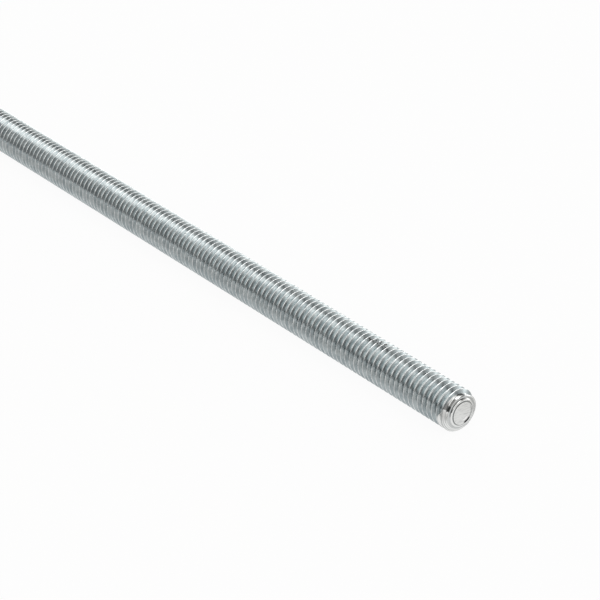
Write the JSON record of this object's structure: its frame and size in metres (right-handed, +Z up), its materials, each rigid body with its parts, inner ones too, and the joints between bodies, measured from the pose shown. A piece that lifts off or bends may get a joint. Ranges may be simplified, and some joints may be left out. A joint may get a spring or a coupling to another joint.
{
  "type": "threaded rod",
  "caption": "Fully threaded steel rod, bright zinc plated, with a coarse right-hand metric thread and a chamfer at each end.",
  "frame": {"origin": "on the rod's axis, midway between its two end faces", "axes": "+X along the rod, out of the end that the picture shows; +Z up; +Y completes the right-handed frame"},
  "size_m": [0.25, 0.008, 0.008],
  "materials": {
    "zinc_steel": "bright zinc plated"
  },
  "bodies": {
    "root": {"threaded_rod": "zinc_steel"}
  },
  "joints": []
}
